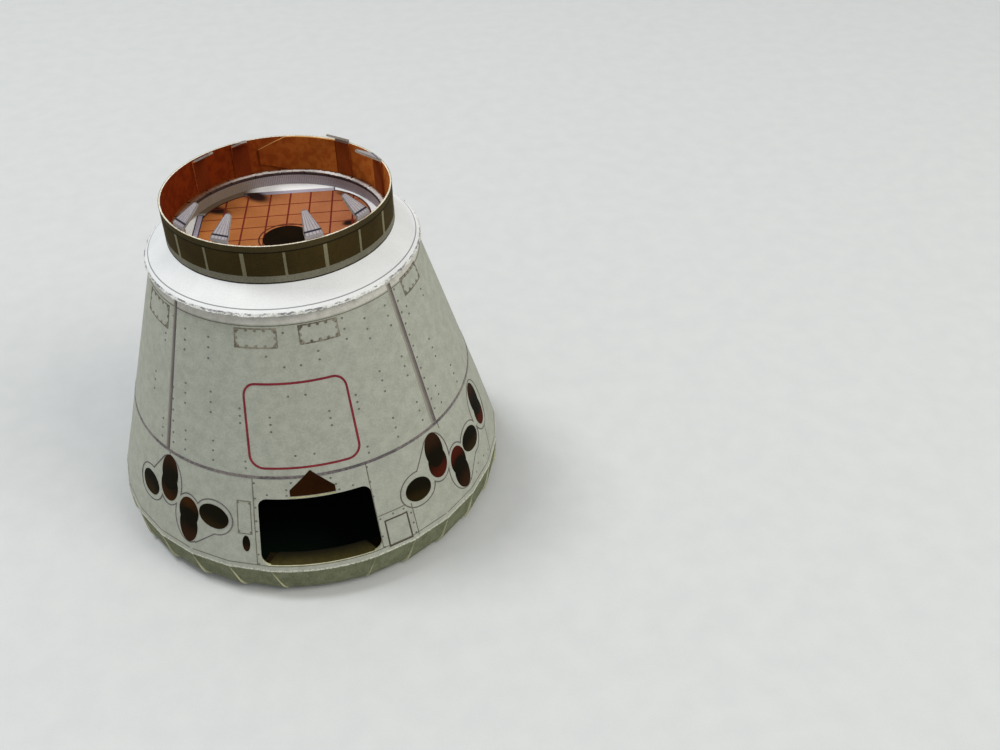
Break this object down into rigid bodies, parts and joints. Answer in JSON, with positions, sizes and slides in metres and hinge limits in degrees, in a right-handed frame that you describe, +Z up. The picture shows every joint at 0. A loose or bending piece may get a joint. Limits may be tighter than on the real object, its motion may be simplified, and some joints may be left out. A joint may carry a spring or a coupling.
{
  "type": "card model of a space capsule",
  "caption": "Small glued card model of a cone-shaped space capsule with a cut-out bay, a sloping nose ring and an open docking collar with pointed guide tabs.",
  "frame": {"origin": "middle of the base, on the surface it stands on", "axes": "+Z up along the cone's axis, -Y towards the cut-out bay"},
  "size_m": [0.0524, 0.0523, 0.0461],
  "materials": {
    "body_card": "printed pale grey card",
    "plain_card": "plain card",
    "white_card": "white card",
    "well_card": "printed grey card with fine hatching",
    "hatch_card": "printed orange tile pattern",
    "collar_card": "printed dark brown card, orange-brown inside",
    "tab_card": "printed grey card"
  },
  "bodies": {
    "root": {"body_wrap": "body_card", "joining_strip": "plain_card", "nose_ring": "white_card", "well_wall": "well_card", "hatch_disc": "hatch_card", "collar": "collar_card", "collar_tongue": "collar_card", "guide_tab_1": "tab_card", "guide_tab_2": "tab_card", "guide_tab_3": "tab_card", "guide_tab_4": "tab_card", "guide_tab_5": "tab_card", "guide_tab_6": "tab_card", "guide_tab_7": "tab_card", "guide_tab_8": "tab_card"}
  },
  "joints": []
}
